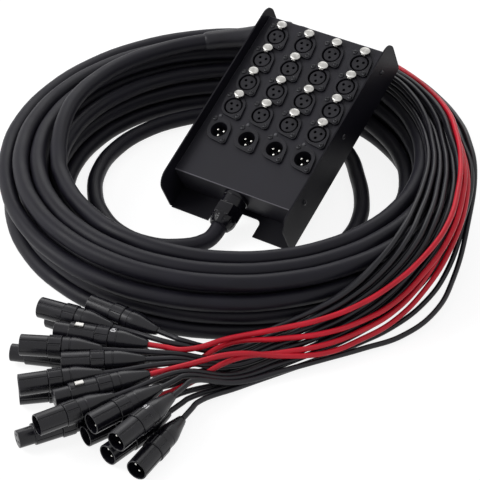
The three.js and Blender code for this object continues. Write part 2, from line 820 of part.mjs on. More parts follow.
// The four tails of a bundle are moulded together where they leave the sleeve
const tailSteps = 22;
const tailSides = 5;
for (let bundle = 0; bundle < bundles; bundle++) {
  const strands = [];
  for (let row = 0; row < tailsPerBundle; row++) {
    strands.push(tube(tailPoints(bundle * tailsPerBundle + row), tailDiameter, tailSides, tailSteps));
  }
  if (bundle === redBundle) place(snake, "tails_red", join(strands), tailRed, 0.4, 0);
  else place(snake, `tails_black_${bundle > redBundle ? bundle : bundle + 1}`, join(strands), rubberBlack, 0.5, 0);
}

// Cable plugs, made along +Z from the rear of the boot
const plugSides = 8;
const collarStart = bootLength + gap;
const collarEnd = collarStart + collarLength;
const bootProfile = [
  [0, 0],
  [bootTipRadius, 0],
  [bootRadius, bootTaper],
  [bootRadius, bootLength],
  [collarRadius, collarStart],
  [collarRadius, collarEnd],
];
const shellEnd = collarEnd + shellLength;
const malePlug = join([
  turned(
    [
      ...bootProfile,
      [shellRadius, collarEnd + gap],
      [shellRadius, shellEnd],
      [shellBore, shellEnd],
      [shellBore, shellEnd - shellDepth],
      [0, shellEnd - shellDepth],
    ],
    plugSides,
  ),
  ...pins(pinCircle, pinRadius, shellEnd - shellDepth - sheetThickness, shellEnd - shellDepth + plugPinLength),
]);
const femaleBodyEnd = collarEnd + femaleBodyLength;
const femaleEnd = femaleBodyEnd + noseLength;
const buttonRear = femaleBodyEnd - buttonInset - buttonLength;
const buttonSlot = block(
  new THREE.Vector3(-buttonWidth / 2 - gap, shellRadius - buttonSlotDepth, buttonRear - gap),
  new THREE.Vector3(buttonWidth / 2 + gap, shellRadius + overrun, buttonRear + buttonLength + gap),
);
const femalePlug = turned(
  [
    ...bootProfile,
    [shellRadius, collarEnd + gap],
    [shellRadius, femaleBodyEnd],
    [noseRadius, femaleBodyEnd + gap],
    [noseRadius, femaleEnd],
    [0, femaleEnd],
  ],
  plugSides,
)
  .subtract(buttonSlot)
  .subtract(join(pins(pinCircle, socketRadius, femaleEnd - socketDepth, femaleEnd + overrun)));
const buttonFoot = shellRadius - buttonSlotDepth + buttonTravel + gap;
const latchButton = block(
  new THREE.Vector3(-buttonWidth / 2, buttonFoot, buttonRear),
  new THREE.Vector3(buttonWidth / 2, shellRadius + buttonProud, buttonRear + buttonLength),
);

// A plug is laid flat with its latch side up and its nose at the heading
const tipFlat = new THREE.Matrix4().makeBasis(
  new THREE.Vector3(0, 1, 0),
  new THREE.Vector3(0, 0, 1),
  new THREE.Vector3(1, 0, 0),
);
function layPlug(mesh, { heading, rear }) {
  mesh.geometry.applyMatrix4(tipFlat);
  mesh.rotation.z = heading;
  mesh.position.copy(rear);
}
let maleNumber = 0;
for (let lane = 0; lane < blackColumns.length; lane++) {
  for (const high of [false, true]) {
    maleNumber += 1;
    layPlug(place(snake, `plug_male_${maleNumber}`, malePlug, plasticBlack, 0.4, 0.2), fanPlace(blackColumns[lane], high, false));
  }
}
for (let row = 0; row < tailsPerBundle; row++) {
  const spot = fanPlace(redColumns[row], row % 2 === 1, true);
  layPlug(place(snake, `plug_female_${row + 1}`, femalePlug, plasticBlack, 0.4, 0.2), spot);
  layPlug(place(snake, `latch_button_${row + 1}`, latchButton, nickel, 0.3, 0.9), spot);
}

export default snake;
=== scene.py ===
import math

import bmesh
import bpy
from mathutils import Matrix, Vector


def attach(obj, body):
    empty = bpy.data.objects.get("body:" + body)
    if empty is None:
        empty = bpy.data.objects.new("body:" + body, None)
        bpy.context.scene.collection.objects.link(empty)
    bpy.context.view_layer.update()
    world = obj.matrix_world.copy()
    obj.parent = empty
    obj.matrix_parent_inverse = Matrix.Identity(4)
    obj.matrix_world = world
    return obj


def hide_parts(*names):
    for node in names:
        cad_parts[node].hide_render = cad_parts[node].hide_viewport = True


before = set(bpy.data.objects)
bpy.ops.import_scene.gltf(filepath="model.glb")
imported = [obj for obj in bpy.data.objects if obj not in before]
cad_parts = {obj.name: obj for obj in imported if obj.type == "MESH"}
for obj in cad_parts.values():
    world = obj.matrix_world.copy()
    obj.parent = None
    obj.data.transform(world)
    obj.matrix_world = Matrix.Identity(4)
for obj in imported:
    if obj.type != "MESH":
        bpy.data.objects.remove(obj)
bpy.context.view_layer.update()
scene = bpy.context.scene

# Camera: a long lens about 1.8 m off, to the right of the box and well above it, so that
# the panel, the round of the coil and the fan of plugs are all in view.
CAMERA_DISTANCE = 1.807
CAMERA_LENS = 140.24
SENSOR_WIDTH = 36
aim = Vector((0.0177, -0.1007, 0.0))
turn_round = math.radians(32.46)
look_down = math.radians(36.576)
away = Vector(
    (
        math.sin(turn_round) * math.cos(look_down),
        -math.cos(turn_round) * math.cos(look_down),
        math.sin(look_down),
    )
)
camera = bpy.data.objects.new("camera", bpy.data.cameras.new("camera"))
camera.data.lens = CAMERA_LENS
camera.data.sensor_width = SENSOR_WIDTH
camera.location = aim + away * CAMERA_DISTANCE
camera.rotation_euler = (-away).to_track_quat("-Z", "Y").to_euler()
scene.collection.objects.link(camera)
scene.camera = camera

# Multicore cable: twenty screened pairs in one soft black rubber jacket, 16 mm thick. It
# leaves the gland, lies one loose turn inside the coil, and winds up in four layers.
MM = 0.001
MULTICORE = 0.016
COIL_MIDDLE = Vector((-0.023, -0.046, 0.0))
INNER_RADIUS = 167
LOOP_PITCH = 16.8
FLOOR_LAYER = 8
LAYER_RISE = 17
LAYER_TURNS = 3.4
COIL_TURNS = 13.1
CLIMB = 0.25
TUCK = 4
TUCK_TURNS = 0.3
STEPS_A_TURN = 24
COIL_STEPS = 314


def round_coil(angle, radius, height):
    """A point at some degrees round the coil, with its radius and height in millimetres."""
    turn = math.radians(angle)
    x, y = radius * MM * math.cos(turn), radius * MM * math.sin(turn)
    return COIL_MIDDLE + Vector((x, y, height * MM))


def smoothstep(value, low, high):
    share = min(max((value - low) / (high - low), 0.0), 1.0)
    return share * share * (3 - 2 * share)


def strand_at(turn):
    """The cable's radius and height after some turns: out, up a layer, in, and so on."""
    layer = math.floor(turn / LAYER_TURNS)
    along = turn - layer * LAYER_TURNS
    out = along if layer % 2 == 0 else LAYER_TURNS - along
    climbed = 0
    for change in (1, 2, 3):
        middle = change * LAYER_TURNS
        climbed += smoothstep(turn, middle - CLIMB, middle + CLIMB)
    tuck = 1 - smoothstep(turn, 0, TUCK_TURNS) + smoothstep(turn, COIL_TURNS - TUCK_TURNS, COIL_TURNS)
    return INNER_RADIUS + LOOP_PITCH * out - TUCK * tuck, FLOOR_LAYER + LAYER_RISE * climbed


def jacketed(name, points, diameter, steps, sides):
    """A round cord along a route, as a curve of one open spline."""
    line = bpy.data.curves.new(name, "CURVE")
    line.dimensions = "3D"
    line.bevel_depth = diameter / 2
    line.bevel_resolution = sides
    line.resolution_u = steps
    line.use_fill_caps = True
    spline = line.splines.new("BEZIER")
    spline.bezier_points.add(len(points) - 1)
    for knot, point in zip(spline.bezier_points, points):
        knot.co = point
    for knot in spline.bezier_points:
        knot.handle_left_type = "AUTO"
        knot.handle_right_type = "AUTO"
    piece = bpy.data.objects.new(name, line)
    scene.collection.objects.link(piece)
    return piece


def finish(
    name, colour, lighter_tone, roughness, patch=40.0, grain=900.0, depth=0.3, metallic=0.0, specular=0.5
):
    """A surface whose colour and gloss drift in soft patches, with a fine grain on it."""
    made = bpy.data.materials.new(name)
    made.use_nodes = True
    nodes = made.node_tree.nodes
    links = made.node_tree.links
    shader = nodes["Principled BSDF"]
    shader.inputs["Metallic"].default_value = metallic
    shader.inputs["Specular IOR Level"].default_value = specular
    place = nodes.new("ShaderNodeTexCoord")
    patches = nodes.new("ShaderNodeTexNoise")
    patches.inputs["Scale"].default_value = patch
    patches.inputs["Detail"].default_value = 5
    links.new(place.outputs["Object"], patches.inputs["Vector"])
    tone = nodes.new("ShaderNodeValToRGB")
    tone.color_ramp.elements[0].position = 0.35
    tone.color_ramp.elements[0].color = (*colour, 1)
    tone.color_ramp.elements[1].position = 0.68
    tone.color_ramp.elements[1].color = (*lighter_tone, 1)
    links.new(patches.outputs["Fac"], tone.inputs["Fac"])
    links.new(tone.outputs["Color"], shader.inputs["Base Color"])
    gloss = nodes.new("ShaderNodeMapRange")
    gloss.inputs["From Min"].default_value = 0.3
    gloss.inputs["From Max"].default_value = 0.7
    gloss.inputs["To Min"].default_value = roughness - 0.06
    gloss.inputs["To Max"].default_value = roughness + 0.08
    links.new(patches.outputs["Fac"], gloss.inputs["Value"])
    links.new(gloss.outputs["Result"], shader.inputs["Roughness"])
    fine = nodes.new("ShaderNodeTexNoise")
    fine.inputs["Scale"].default_value = grain
    fine.inputs["Detail"].default_value = 3
    links.new(place.outputs["Object"], fine.inputs["Vector"])
    bump = nodes.new("ShaderNodeBump")
    bump.inputs["Strength"].default_value = depth
    bump.inputs["Distance"].default_value = 0.0002
    links.new(fine.outputs["Fac"], bump.inputs["Height"])
    links.new(bump.outputs["Normal"], shader.inputs["Normal"])
    return made


rubber_jacket = finish(
    "rubber_jacket",
    (0.0066, 0.0061, 0.0102),
    (0.01, 0.0093, 0.015),
    0.46,
    patch=30,
    grain=700,
    depth=0.25,
    specular=0.19,
)
gland_nose = Vector((0, -0.11035, 0.01487))
lead_route = [
    (-2.5, -129, 8.5),
    (-22, -152, 8.1),
    (-48, -163, 8.1),
    (-80, -162, 8.1),
    (-112, -147, 8.1),
    (-140, -121, 8.1),
    (-160, -86, 8.1),
    (-168, -46, 8.1),
    (-163, -4, 8.1),
    (-144, 36, 8.1),
    (-113, 69, 8.1),
    (-73, 91, 8.1),
    (-28, 97, 8.1),
    (12, 88, 8.1),
    (39, 73, 8.1),
    (66, 43, 8.1),
    (88, 13, 8.1),
    (103, -18, 8.1),
    (110, -54, 8.1),
    (106, -92, 8.1),
    (90, -130, 8.1),
    (63, -163, 8.1),
    (34, -187, 8.1),
    (10, -202, 8.1),
    (-7, -209, 8),
]
top_route = [
    (226, 171.5, 58.6),
    (218, 171.5, 62),
    (210, 171.5, 67),
    (200, 172, 72.6),
    (190, 173, 75.6),
    (175, 175, 75.6),
    (162, 177, 75.6),
    (149, 178, 75.8),
    (140, 178, 77),
    (130, 178, 79),
]
multicore_points = [gland_nose, Vector((0, -0.11727, 0.01149))]
multicore_points += [Vector(point) * MM for point in lead_route]
for step in range(COIL_STEPS):
    radius, height = strand_at(step / STEPS_A_TURN)
    multicore_points.append(round_coil(270 - 360 * step / STEPS_A_TURN, radius, height))
multicore_points += [round_coil(*place) for place in top_route]
multicore = jacketed("multicore_cable", multicore_points, MULTICORE, steps=4, sides=6)
multicore.data.materials.append(rubber_jacket)
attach(multicore, "snake")
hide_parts("multicore_coil", "multicore_lead", "breakout_sleeve")

# Break-out sleeve: black heat-shrink with a moulded mouth, shrunk on the multicore where
# its pairs part. It swells from the jacket to the block of twenty tails.
SLEEVE_SIDES = 40
JACKET_RADIUS = 8
sleeve_rows = [
    (133, 178, 78.3, 0.1),
    (132.6, 178, 78.4, 0.8),
    (132, 178, 78.5, 1.4),
    (131, 178, 78.7, 1.6),
    (128, 178, 79.3, 1.7),
    (124, 178, 80.2, 1.9),
    (120, 178, 81.3, 2.4),
    (117, 178, 82.3, 3.3),
    (114, 178, 83.3, 5),
    (111, 177.7, 84.3, 7.2),
    (108, 177.5, 84.9, 9.2),
    (106, 177.2, 85.2, 10),
    (104.3, 177, 85.3, 10),
    (104, 177, 85.3, 9.4),
    (104, 177, 85.3, 8.2),
    (104.7, 177, 85.3, 7.9),
]
sleeve_mesh = bmesh.new()
sleeve_rings = []
for angle, radius, height, swell in sleeve_rows:
    ring = []
    for side in range(SLEEVE_SIDES):
        around = math.radians(360 / SLEEVE_SIDES * side)
        reach = JACKET_RADIUS + swell
        point = round_coil(angle, radius + reach * math.cos(around), height + reach * math.sin(around))
        ring.append(sleeve_mesh.verts.new(point))
    sleeve_rings.append(ring)
for ring, following in zip(sleeve_rings, sleeve_rings[1:]):
    for side in range(SLEEVE_SIDES):
        after = (side + 1) % SLEEVE_SIDES
        sleeve_mesh.faces.new((ring[side], following[side], following[after], ring[after]))
sleeve_mesh.faces.new(sleeve_rings[0])
sleeve_mesh.faces.new(list(reversed(sleeve_rings[-1])))
bmesh.ops.recalc_face_normals(sleeve_mesh, faces=sleeve_mesh.faces)
sleeve_data = bpy.data.meshes.new("breakout_boot")
sleeve_mesh.to_mesh(sleeve_data)
sleeve_mesh.free()
sleeve = bpy.data.objects.new("breakout_boot", sleeve_data)
scene.collection.objects.link(sleeve)
for face in sleeve.data.polygons:
    face.use_smooth = True
shrink_tube = finish(
    "shrink_tube",
    (0.0085, 0.008, 0.012),
    (0.013, 0.0123, 0.0175),
    0.4,
    patch=60,
    grain=350,
    depth=0.6,
    specular=0.3,
)
sleeve.data.materials.append(shrink_tube)
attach(sleeve, "snake")
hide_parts("breakout_sleeve")

# Tails: sixteen black and four red single cables, 5 mm thick, in soft PVC jackets. They
# leave the sleeve four deep, drape over the coil, and cross in a loose bunch on the floor.
TAIL = 0.005
LANE = 5.6
MOUTH_LANE = 4.1
BUNDLE_PITCH = 5.9
RED_BUNDLE = 3
LAST_BUNDLE = 4


def paired(lane):
    return [(lane, 0), (lane, 1), (lane + 1, 0), (lane + 1, 1)]


def rising(lane):
    return [(lane, 0), (lane, 1), (lane + 1, 2), (lane + 1, 3)]


def stacked(lane):
    return [(lane, 0), (lane, 1), (lane, 2), (lane, 3)]


# Where the middle of the block of tails passes: degrees round the coil, radius, height.
block_stations = [
    (104.4, 177, 85.3),
    (100.5, 176.8, 85.3),
    (93, 179, 81),
    (82, 185, 78.5),
    (70, 192, 78.5),
    (62, 195.8, 78.5),
    (55, 196.5, 78.5),
]
inner_bundles = [paired(0), paired(2)]
three_bundles = [*inner_bundles, paired(4)]
# Each station over the coil has its degrees, its number of lanes, the rim that the tails
# lie on as (radius, height), and for each bundle the (lane, lift) of its four tails.
drape_stations = [
    (
        39,
        7,
        [(186.5, 71), (227, 71)],
        [rising(0), rising(1.88), stacked(3.92), stacked(5.12), paired(6.15)],
    ),
    (28, 7, [(189, 71), (228.5, 71)], [*inner_bundles, stacked(4), stacked(5), paired(6)]),
    (
        19,
        8,
        [(190.5, 70.6), (234.5, 70.6)],
        [
            *inner_bundles,
            [(4, 0), (4, 1), (5, 0.3), (4.8, 1.4)],
            [(6, 0), (6, 1), (6, 2.05), (5.7, 3.15)],
            paired(7),
        ],
    ),
    (
        10,
        8,
        [(196, 70.4), (234.5, 70.4), (238, 66.5), (240, 58)],
        [*three_bundles, [(6, 0), (6, 1), (5.6, 2.05), (4.6, 2.05)], paired(7)],
    ),
    (
        -4,
        8,
        [(205, 70.4), (234.5, 70.4), (238.5, 66), (244, 36)],
        [*three_bundles, [(6, 0.4), (6.6, 2.05), (5.4, 2.05), (4.2, 2.05)], paired(7)],
    ),
    (
        -14,
        8,
        [(219, 70.4), (234.5, 70.4), (238.5, 66), (246, 24)],
        [*three_bundles, [(6, 1.5), (7, 2.1), (5, 2.1), (3.5, 2.1)], paired(7)],
    ),
    (
        -23,
        7,
        [(232, 70.4), (236, 69), (239, 62), (249, 9)],
        [*three_bundles, [(5.9, 2.05), (7, 2.05), (4.8, 2.05), (2.6, 2.05)], paired(6)],
    ),
    (
        -32,
        7,
        [(237, 54), (252, 5)],
        [*three_bundles, [(5.6, 2.05), (6.6, 2.05), (4.4, 2.05), (2, 2.05)], paired(6)],
    ),
    (
        -40,
        7,
        [(238, 36), (262, 4)],
        [*three_bundles, [(5.2, 2.1), (6.3, 2.1), (3.6, 2.1), (1.4, 2.1)], paired(6)],
    ),
    (
        -48,
        7,
        [(239, 26), (270, 3.3)],
        [*three_bundles, [(5, 2.4), (6.2, 2.3), (2.7, 2.4), (0.9, 2.4)], paired(6)],
    ),
]
loose_loops = {
    -4: [(246, 14), (251.5, 9)],
    -14: [(254, 4), (268, 3.3)],
    -23: [(257, 3.3), (276, 3.3)],
    -32: [(257, 3.3), (268, 3.3)],
}
black_columns = [0, 1, 3, 4, 5, 7, 8, 9]
red_columns = [6, 6, 2, 2]
headings_high = [181, 189.8, 198.6, 207.4, 216.2, 225, 233.8, 242.6, 251.4, 264.2]
headings_low = [185.4, 194.2, 203, 211.8, 220.6, 229.4, 238.2, 247, 259.7, 272.4]
FAN_MIDDLE = (118, -288)
HIGH_PLUGS = 32
LOW_PLUGS = 10.5
BUNCH_MIDDLE = Vector((118, -268, 0))
BUNCH_LINE = Vector((0.69, -0.72, 0))
BUNCH_PITCH = 5.5
MIDDLE_COLUMN = 4.5
BUNCH_FLOOR = 3.3
RED_LIFT = 3.3
NECK = 42
HIGH_RED_NECK = 36
NEAR_REAR = 66
FAR_REAR = 104
STRAIGHT_IN = 16
INSIDE_BOOT = 3
easing_rounds = (0.5, -0.52, 0.5, -0.52, 0.5, -0.5)


def along_rim(rim, share, lift):
    """The radius and height of a lane at a share of the way along a rim, lifted off it."""
    reaches = [math.dist(a, b) for a, b in zip(rim, rim[1:])]
    left = share * sum(reaches)
    leg = 0
    while leg < len(reaches) - 1 and left > reaches[leg]:
        left -= reaches[leg]
        leg += 1
    (r0, z0), (r1, z1) = rim[leg], rim[leg + 1]
    out_r, out_z = (r1 - r0) / reaches[leg], (z1 - z0) / reaches[leg]
    return r0 + out_r * left - out_z * lift, z0 + out_z * left + out_r * lift


def fan_place(column, high, red):
    """A plug's heading, its tail's neck and its rear end. Neighbours lie nearer and farther."""
    heading = math.radians((headings_high if high else headings_low)[column])
    forward = Vector((math.cos(heading), math.sin(heading), 0))
    near = column >= 8 or (column % 2 == 0) == high
    centre = Vector((*FAN_MIDDLE, HIGH_PLUGS if high else LOW_PLUGS))
    neck = centre + forward * (HIGH_RED_NECK if red and high else NECK)
    rear = centre + forward * (NEAR_REAR if near else FAR_REAR)
    return heading, forward, neck, rear


def black_place(bundle):
    """A black bundle's place among the four, counted past the red one."""
    return bundle - 1 if bundle > RED_BUNDLE else bundle


def tail_points(bundle, row):
    """One tail's route. The two upper tails of the last bundle slip down beside it."""
    red = bundle == RED_BUNDLE
    points = []
    for station, (angle, radius, height) in enumerate(block_stations):
        beside = 1 if bundle == LAST_BUNDLE and row > 1 and station >= 2 else 0
        pitch = MOUTH_LANE if station == 0 else LANE
        side_step = (bundle - 2 + beside) * BUNDLE_PITCH
        points.append(round_coil(angle, radius + side_step, height + (row - 2 * beside - 1.5) * pitch))
    for angle, lanes, rim, places in drape_stations:
        lane, lift = places[bundle][row]
        if bundle == LAST_BUNDLE and row > 1 and angle in loose_loops:
            radius, height = loose_loops[angle][row - 2]
        else:
            radius, height = along_rim(rim, lane / lanes, lift * LANE)
        points.append(round_coil(angle, radius, height))
    high = row % 2 == 1
    column = red_columns[row] if red else black_columns[2 * black_place(bundle) + row // 2]
    heading, forward, neck, rear = fan_place(column, high, red)
    entry = BUNCH_MIDDLE + BUNCH_LINE * (column - MIDDLE_COLUMN) * BUNCH_PITCH
    entry.z = BUNCH_FLOOR + LANE * (row % 2 + (RED_LIFT if red else 0))
    points += [entry * MM, neck * MM]
    points += [(rear - forward * STRAIGHT_IN) * MM, (rear + forward * INSIDE_BOOT) * MM]
    for ease in easing_rounds:
        for knot in range(3, len(points) - 4):
            middle = (points[knot - 1] + points[knot + 1]) / 2
            points[knot] = points[knot].lerp(middle, ease)
    return points


tail_look = {"patch": 45, "grain": 900, "depth": 0.15, "specular": 0.32}
tail_black = finish("tail_black", (0.006, 0.0056, 0.0088), (0.0096, 0.009, 0.0134), 0.34, **tail_look)
tail_red = finish("tail_red", (0.56, 0.007, 0.022), (0.7, 0.012, 0.034), 0.34, **tail_look)
for bundle in range(5):
    for row in range(4):
        red = bundle == RED_BUNDLE
        points = tail_points(bundle, row)
        place = black_place(bundle)
        name = f"tail_red_{row + 1}" if red else f"tail_black_{4 * place + row + 1}"
        tail = jacketed(name, points, TAIL, steps=8, sides=4)
        tail.data.materials.append(tail_red if red else tail_black)
        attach(tail, "snake")
        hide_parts("tails_red" if red else f"tails_black_{place + 1}")

# Box body: one 1.5 mm steel sheet bent up into two cheeks, with rounded corners and a
# notch for the gland in its near edge, powder-coated black. It leans on the coil.
BOX_PLACE = Matrix.Translation((0, -0.0907053, 0)) @ Matrix.Rotation(math.radians(26.1), 4, "X")
SIDEWAYS = Matrix(((0, 0, 1, 0), (1, 0, 0, 0), (0, 1, 0, 0), (0, 0, 0, 1)))
SHEET = 1.5
BOX_LENGTH = 228
BOX_SIDE = 0.07
CHEEK_HEIGHT = 48
BOTTOM_WIDTH = 137.4
NOTCH_WIDTH = 51
NOTCH_LENGTH = 27
NOTCH_ROUND = 6


def alone(piece):
    bpy.ops.object.select_all(action="DESELECT")
    piece.select_set(True)
    bpy.context.view_layer.objects.active = piece


def select_parts(piece, kind, test):
    """Selects the faces or edges of a piece whose middle passes the test, in edit mode."""
    bpy.ops.mesh.select_all(action="DESELECT")
    bpy.ops.mesh.select_mode(type="FACE" if kind == "faces" else "EDGE")
    mesh = bmesh.from_edit_mesh(piece.data)
    for part in getattr(mesh, kind):
        middle = sum((vert.co for vert in part.verts), Vector()) / len(part.verts)
        part.select_set(test(part, middle / MM))
    mesh.select_flush_mode()
    bmesh.update_edit_mesh(piece.data)


def rounded_sheet(width, length, corners, thickness):
    """A flat plate from the origin, with corners (x, y, radius) rounded."""
    bpy.ops.object.select_all(action="DESELECT")
    bpy.ops.mesh.primitive_plane_add(size=1, location=(width * MM / 2, length * MM / 2, 0))
    piece = bpy.context.object
    piece.scale = (width * MM, length * MM, 1)
    bpy.ops.object.transform_apply(location=True, rotation=True, scale=True)
    bpy.ops.object.mode_set(mode="EDIT")
    bpy.ops.mesh.select_mode(type="VERT")
    for x, y, radius in corners:
        bpy.ops.mesh.select_all(action="DESELECT")
        mesh = bmesh.from_edit_mesh(piece.data)
        min(mesh.verts, key=lambda vert: (vert.co - Vector((x, y, 0)) * MM).length).select_set(True)
        mesh.select_flush_mode()
        bmesh.update_edit_mesh(piece.data)
        bpy.ops.mesh.bevel(offset=radius * MM, segments=8, affect="VERTICES")
    bpy.ops.mesh.select_all(action="SELECT")
    lift = {"value": (0, 0, thickness * MM), "orient_type": "GLOBAL"}
    bpy.ops.mesh.extrude_region_move(TRANSFORM_OT_translate=lift)
    bpy.ops.mesh.select_all(action="SELECT")
    bpy.ops.mesh.normals_make_consistent(inside=False)
    bpy.ops.object.mode_set(mode="OBJECT")
    return piece


def combine(piece, other, how):
    """Joins another solid to a piece or cuts it away."""
    alone(piece)
    boolean = piece.modifiers.new("boolean", "BOOLEAN")
    boolean.operation = how
    boolean.solver = "EXACT"
    boolean.object = other
    bpy.ops.object.modifier_apply(modifier=boolean.name)
    bpy.data.objects.remove(other)


def smooth(piece, angle=38):
    """Shades the rounds smooth and leaves edges sharper than the angle."""
    alone(piece)
    bpy.ops.object.shade_smooth_by_angle(angle=math.radians(angle))


def soften(piece, width, angle=32, segments=2):
    """Breaks the sharp edges, shades the rounds smooth and keeps the flats flat."""
    alone(piece)
    edges = piece.modifiers.new("edges", "BEVEL")
    edges.width = width * MM
    edges.segments = segments
    edges.limit_method = "ANGLE"
    edges.angle_limit = math.radians(angle)
    bpy.ops.object.modifier_apply(modifier=edges.name)
    smooth(piece)
    flats = piece.modifiers.new("flats", "WEIGHTED_NORMAL")
    flats.keep_sharp = True
    bpy.ops.object.modifier_apply(modifier=flats.name)


def seat(piece, name, place, look, body, nodes):
    """Puts a finished piece in its place, with its look, its body and the nodes it stands for."""
    piece.data.transform(place)
    piece.name = name
    piece.data.name = name
    piece.data.materials.clear()
    piece.data.materials.append(look)
    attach(piece, body)
    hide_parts(*nodes)


# Painted shade: the body wears a darker, duller copy of the cover's black powder coat, for the shade on its
# cheeks.
shaded_powder_black = finish(
    "shaded_powder_black",
    (0.0044, 0.0041, 0.0068),
    (0.0066, 0.0062, 0.0098),
    0.5,
    patch=18,
    grain=1500,
    depth=0.5,
    specular=0.12,
)
cheek_corners = [(0, 0, 4), (BOX_LENGTH, 0, 4), (0, CHEEK_HEIGHT, 14), (BOX_LENGTH, CHEEK_HEIGHT, 14)]
channel = rounded_sheet(BOX_LENGTH, CHEEK_HEIGHT, cheek_corners, SHEET)
channel.data.transform(Matrix.Translation((-BOX_SIDE, 0, 0)) @ SIDEWAYS)
right_cheek = rounded_sheet(BOX_LENGTH, CHEEK_HEIGHT, cheek_corners, SHEET)
right_cheek.data.transform(Matrix.Translation((BOX_SIDE - SHEET * MM, 0, 0)) @ SIDEWAYS)
bottom_plate = rounded_sheet(BOTTOM_WIDTH, BOX_LENGTH, [], SHEET)
bottom_plate.data.transform(Matrix.Translation((-BOTTOM_WIDTH / 2 * MM, 0, 0)))
notch_corners = [(0, NOTCH_LENGTH, NOTCH_ROUND), (NOTCH_WIDTH, NOTCH_LENGTH, NOTCH_ROUND)]
gland_notch = rounded_sheet(NOTCH_WIDTH, NOTCH_LENGTH, notch_corners, 4 * SHEET)
gland_notch.data.transform(Matrix.Translation((-NOTCH_WIDTH / 2 * MM, -0.008, -0.002)))
combine(bottom_plate, gland_notch, "DIFFERENCE")
combine(channel, bottom_plate, "UNION")
combine(channel, right_cheek, "UNION")
soften(channel, 0.4)
seat(channel, "box_channel", BOX_PLACE, shaded_powder_black, "snake", ["body_channel"])

# Panel cover: a second bent sheet that closes the box, with the jack holes in its panel,
# the gland hole in its near wall and a soft bend round the panel.
COVER_MIDDLE = (0, 0.12215, 0.0189)
COVER_SIZE = (0.1364, 0.1957, 0.0342)
PANEL_TOP = 0.036
PANEL_BEND = 0.0011
SKIRT_LINE = 0.016
HOLE_RADIUS = 0.0108
GLAND_HOLE = Vector((0, 0.0243, 0.022))
COLUMNS = [-48, -16, 16, 48]
ROWS = [79.3, 109, 138.7, 168.4, 198.1]


def drill(piece, place):
    """Cuts the hole of a jack or of the gland through the sheet."""
    bpy.ops.object.select_all(action="DESELECT")
    bpy.ops.mesh.primitive_cylinder_add(vertices=32, radius=HOLE_RADIUS, depth=0.01)
    hole = bpy.context.object
    hole.data.transform(place)
    combine(piece, hole, "DIFFERENCE")


def is_open_side(face, at):
    """Whether a face of the block is its open bottom or a side below the skirts."""
    return at.z < 2 or (at.z < SKIRT_LINE / MM and abs(face.normal.x) > 0.9)


bpy.ops.object.select_all(action="DESELECT")
bpy.ops.mesh.primitive_cube_add(size=1, location=COVER_MIDDLE)
cover = bpy.context.object
cover.scale = COVER_SIZE
bpy.ops.object.transform_apply(location=True, rotation=True, scale=True)
bpy.ops.object.mode_set(mode="EDIT")
bpy.ops.mesh.select_all(action="SELECT")
bpy.ops.mesh.bisect(plane_co=(0, 0, SKIRT_LINE), plane_no=(0, 0, 1))
select_parts(cover, "faces", is_open_side)
bpy.ops.mesh.delete(type="FACE")
select_parts(cover, "edges", lambda edge, at: all(abs(vert.co.z - PANEL_TOP) < 1e-6 for vert in edge.verts))
bpy.ops.mesh.bevel(offset=PANEL_BEND, segments=4)
bpy.ops.object.mode_set(mode="OBJECT")
sheet = cover.modifiers.new("sheet", "SOLIDIFY")
sheet.thickness = SHEET * MM
sheet.offset = -1
alone(cover)
bpy.ops.object.modifier_apply(modifier=sheet.name)
for row in ROWS:
    for column in COLUMNS:
        drill(cover, Matrix.Translation((column * MM, row * MM, PANEL_TOP)))
drill(cover, Matrix.Translation(GLAND_HOLE) @ Matrix.Rotation(math.pi / 2, 4, "X"))
soften(cover, 0.2)
panel_black = finish(
    "panel_black",
    (0.0086, 0.0081, 0.0124),
    (0.0118, 0.0111, 0.0165),
    0.48,
    patch=14,
    grain=1700,
    depth=0.6,
    specular=0.24,
)
seat(cover, "box_cover", BOX_PLACE, panel_black, "snake", ["panel_cover"])


def paint_bend_highlight(coat, flat, lighter_tone):
    """Paints a highlight into the coat's colour: lighter where the sheet turns away from the flat's normal,
    on the bends.
    """
    nodes, links = coat.node_tree.nodes, coat.node_tree.links
    shader = nodes["Principled BSDF"]
    facing = nodes.new("ShaderNodeTexCoord")
    turned_away = nodes.new("ShaderNodeVectorMath")
    turned_away.operation = "DOT_PRODUCT"
    turned_away.inputs[1].default_value = flat
    links.new(facing.outputs["Normal"], turned_away.inputs[0])
    bend_highlight = nodes.new("ShaderNodeValToRGB")
    no_highlight_stops, highlight_stops = (0.06, 0.985), (0.3, 0.93)
    for stop, place in zip(bend_highlight.color_ramp.elements, no_highlight_stops):
        stop.position = place
        stop.color = (0, 0, 0, 1)
    for place in highlight_stops:
        bend_highlight.color_ramp.elements.new(place).color = (1, 1, 1, 1)
    links.new(turned_away.outputs["Value"], bend_highlight.inputs["Fac"])
    highlight_mix = nodes.new("ShaderNodeMix")
    highlight_mix.data_type = "RGBA"
    links.new(bend_highlight.outputs["Color"], highlight_mix.inputs["Factor"])
    links.new(shader.inputs["Base Color"].links[0].from_socket, highlight_mix.inputs[6])
    highlight_mix.inputs[7].default_value = (*lighter_tone, 1)
    links.new(highlight_mix.outputs[2], shader.inputs["Base Color"])


# Painted highlight: the panel's bends get a lighter base colour, standing in for the light they catch.
paint_bend_highlight(panel_black, flat=BOX_PLACE.to_3x3() @ Vector((0, 0, 1)), lighter_tone=(0.17, 0.165, 0.185))

# Cheek screws: three blackened pan-head screws in each cheek hold the cover in the body.
# Each has a low crowned head with a cross recess.


